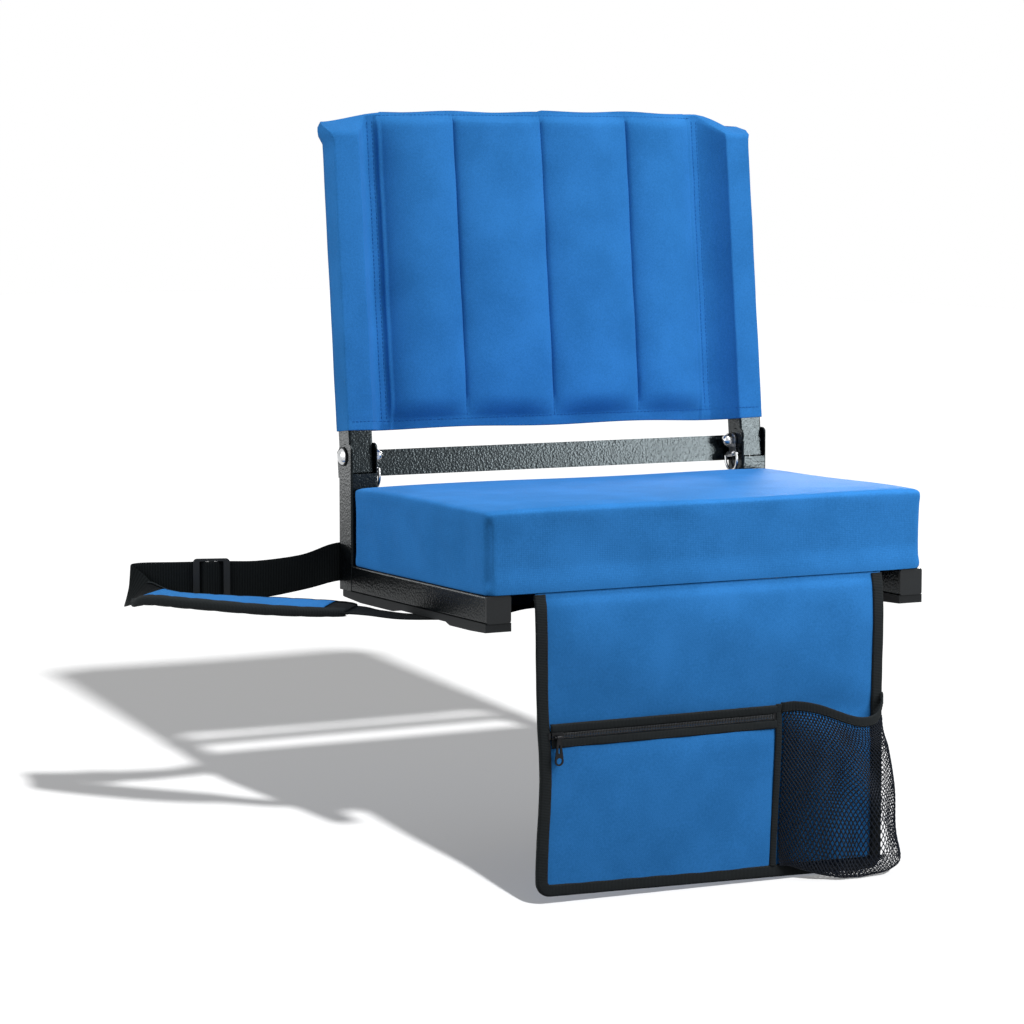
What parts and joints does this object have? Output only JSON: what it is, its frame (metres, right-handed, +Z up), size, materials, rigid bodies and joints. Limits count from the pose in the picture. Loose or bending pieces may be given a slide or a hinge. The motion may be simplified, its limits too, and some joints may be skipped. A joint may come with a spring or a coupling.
{
  "type": "folding bleacher seat",
  "caption": "Portable padded seat for a bench: square steel tube frame, thick cushion, sling back that folds forward, hanging pocket flap and a padded shoulder strap.",
  "frame": {"origin": "centre of the seat in plan, on the plane of the bench under the runners", "axes": "+X to the sitter's left, +Y to the back, +Z up"},
  "size_m": [0.6946, 0.4209, 0.7296],
  "materials": {
    "frame_paint": "charcoal hammertone powder coat, semi-gloss",
    "black_plastic": "moulded, fine satin",
    "runner_rubber": "matt",
    "zinc_steel": "zinc plated",
    "chrome": "polished",
    "plywood": "raw plywood",
    "foam": "open-cell foam",
    "blue_fabric": "coated polyester plain weave, low sheen",
    "black_webbing": "ribbed polypropylene webbing",
    "black_net": "knitted net",
    "zip_nylon": "nylon coil",
    "zip_metal": "black enamel",
    "strap_padding": "blue face with black edges and back"
  },
  "bodies": {
    "seat_frame": {"side_tube_left": "frame_paint", "side_tube_right": "frame_paint", "lower_upright_left": "frame_paint", "lower_upright_right": "frame_paint", "front_cross_tube": "frame_paint", "rear_cross_tube": "frame_paint", "front_cap_left": "black_plastic", "front_cap_right": "black_plastic", "foot_cap_left": "black_plastic", "foot_cap_right": "black_plastic", "runner_left": "runner_rubber", "runner_right": "runner_rubber", "runner_screws": "zinc_steel", "seat_board": "plywood", "board_screws": "zinc_steel", "cushion_foam": "foam", "cushion_cover": "blue_fabric", "flap_tape": "blue_fabric", "pivot_bolt_left": "chrome", "pivot_bolt_right": "chrome", "pivot_washers": "black_plastic", "pivot_nut_left": "chrome", "pivot_nut_right": "chrome", "strap_webbing": "black_webbing", "strap_adjuster": "black_plastic", "strap_pad": "strap_padding", "strap_screws": "zinc_steel"},
    "backrest": {"back_tube_left": "frame_paint", "back_tube_right": "frame_paint", "back_crossbar": "frame_paint", "back_cap_left": "black_plastic", "back_cap_right": "black_plastic", "back_cover": "blue_fabric", "back_foam_1": "foam", "back_foam_2": "foam", "back_foam_3": "foam", "back_foam_4": "foam"},
    "hanger_left": {"ring_hanger_left": "zinc_steel"},
    "hanger_right": {"ring_hanger_right": "zinc_steel"},
    "ring_left": {"d_ring_left": "chrome"},
    "ring_right": {"d_ring_right": "chrome"},
    "flap": {"flap_panel": "blue_fabric", "flap_binding": "black_webbing", "zip_pocket": "blue_fabric", "pocket_seam": "black_webbing", "zip_tape": "black_webbing", "zip_coil": "zip_nylon", "zip_stops": "zip_metal", "net_pocket": "black_net", "net_rim": "black_webbing"},
    "slider": {"zip_slider": "zip_metal"},
    "pull": {"zip_pull": "zip_metal"}
  },
  "joints": [
    {"name": "back_fold", "type": "hinge", "parent": "seat_frame", "child": "backrest", "pos_m": [0, 0.1446, 0.1404], "axis": [1, 0, 0], "range_deg": [0, 98.5]},
    {"name": "hanger_left_swing", "type": "hinge", "parent": "seat_frame", "child": "hanger_left", "pos_m": [-0.2071, 0.1446, 0.1404], "axis": [1, 0, 0], "range_deg": [-20, 0]},
    {"name": "hanger_right_swing", "type": "hinge", "parent": "seat_frame", "child": "hanger_right", "pos_m": [0.2071, 0.1446, 0.1404], "axis": [1, 0, 0], "range_deg": [-20, 0]},
    {"name": "ring_left_swing", "type": "hinge", "parent": "hanger_left", "child": "ring_left", "pos_m": [-0.2071, 0.14258, 0.12604], "axis": [0, -0.9903, 0.1392], "range_deg": [0, 95]},
    {"name": "ring_right_swing", "type": "hinge", "parent": "hanger_right", "child": "ring_right", "pos_m": [0.2071, 0.14258, 0.12604], "axis": [0, 0.9903, -0.1392], "range_deg": [0, 95]},
    {"name": "flap_swing", "type": "hinge", "parent": "seat_frame", "child": "flap", "pos_m": [0, -0.1556, 0.0356], "axis": [1, 0, 0], "range_deg": [-95, 20]},
    {"name": "zip_slide", "type": "slide", "parent": "flap", "child": "slider", "axis": [1, 0, 0], "range_m": [0, 0.228]},
    {"name": "pull_swing", "type": "hinge", "parent": "slider", "child": "pull", "pos_m": [-0.169, -0.1633, -0.0989], "axis": [1, 0, 0], "range_deg": [-110, 5]}
  ]
}
